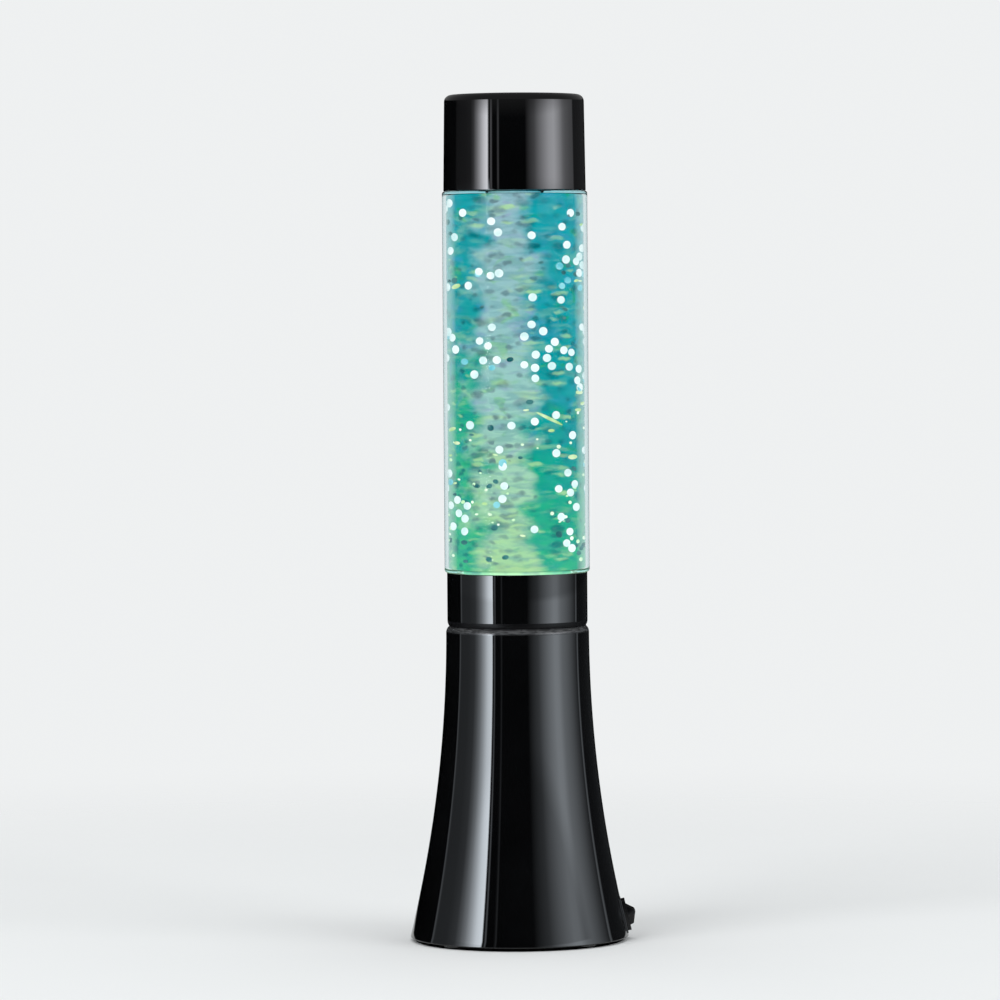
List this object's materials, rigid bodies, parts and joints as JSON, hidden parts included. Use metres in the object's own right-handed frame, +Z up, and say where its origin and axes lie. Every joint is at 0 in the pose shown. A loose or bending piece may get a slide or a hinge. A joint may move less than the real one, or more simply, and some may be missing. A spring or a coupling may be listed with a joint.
{
  "type": "glitter lamp",
  "caption": "Tall round lamp: a clear bottle of glitter liquid with a cap, on a flared base that lights it from below and stirs it, with a rocker switch near the rim.",
  "frame": {"origin": "on the floor under the middle of the base", "axes": "+Z up along the lamp's own axis, +X towards the rocker switch, -Y towards the front"},
  "size_m": [0.0987, 0.0958, 0.37],
  "materials": {
    "gloss_black": "gloss",
    "matte_black": "matte",
    "switch_black": "satin",
    "foot_rubber": "matte",
    "seal_rubber": "matte",
    "steel": "satin",
    "motor_steel": "satin",
    "magnet": "polished",
    "plated_contact": "polished",
    "brass_blade": "satin",
    "cell_jacket": "gloss",
    "wire_jacket": "satin",
    "white_plastic": "satin",
    "board_white": "satin",
    "led_yellow": "satin",
    "frosted_lens": "satin",
    "clear_bottle": "polished",
    "teal_liquid": "gloss",
    "glitter_flake": "polished"
  },
  "bodies": {
    "base": {"base_shell": "gloss_black", "bottom_cover": "matte_black", "cover_screws": "steel", "rubber_feet": "foot_rubber", "battery_cells": "cell_jacket", "battery_contacts": "plated_contact", "battery_springs": "plated_contact", "switch_housing": "switch_black", "switch_terminals": "brass_blade", "wiring": "wire_jacket", "motor": "motor_steel", "motor_cup": "matte_black", "motor_screws": "steel", "led_board": "board_white", "leds": "led_yellow", "board_screws": "steel", "lens": "frosted_lens"},
    "rocker": {"switch_rocker": "switch_black"},
    "rotor": {"motor_shaft": "steel", "magnet_carrier": "white_plastic", "drive_magnets": "magnet"},
    "door": {"battery_door": "matte_black"},
    "bottle": {"collar": "gloss_black", "bottle": "clear_bottle", "liquid": "teal_liquid", "glitter": "glitter_flake", "stirrer_pin": "steel", "pin_clip": "white_plastic", "closure_seal": "seal_rubber", "bottle_closure": "matte_black"},
    "stirrer": {"stirrer": "white_plastic", "stirrer_magnets": "magnet"},
    "cap": {"top_cap": "gloss_black"}
  },
  "joints": [
    {"name": "switch_rock", "type": "hinge", "parent": "base", "child": "rocker", "pos_m": [0.04651, 0, 0.01066], "axis": [0, 1, 0], "range_deg": [0, 30]},
    {"name": "motor_spin", "type": "hinge", "parent": "base", "child": "rotor", "pos_m": [0, 0, 0.12], "axis": [0, 0, 1], "continuous": true},
    {"name": "battery_door_tip", "type": "hinge", "parent": "base", "child": "door", "pos_m": [0, -0.02965, 0.002], "axis": [-1, 0, 0], "range_deg": [0, 35]},
    {"name": "bottle_lift", "type": "slide", "parent": "base", "child": "bottle", "axis": [0, 0, 1], "range_m": [0, 0.05]},
    {"name": "stirrer_spin", "type": "hinge", "parent": "bottle", "child": "stirrer", "pos_m": [0, 0, 0.136], "axis": [0, 0, 1], "continuous": true},
    {"name": "cap_lift", "type": "slide", "parent": "bottle", "child": "cap", "axis": [0, 0, 1], "range_m": [0, 0.045]}
  ],
  "couplings": [
    {"joint": "stirrer_spin", "follows": "motor_spin", "ratio": 1}
  ]
}
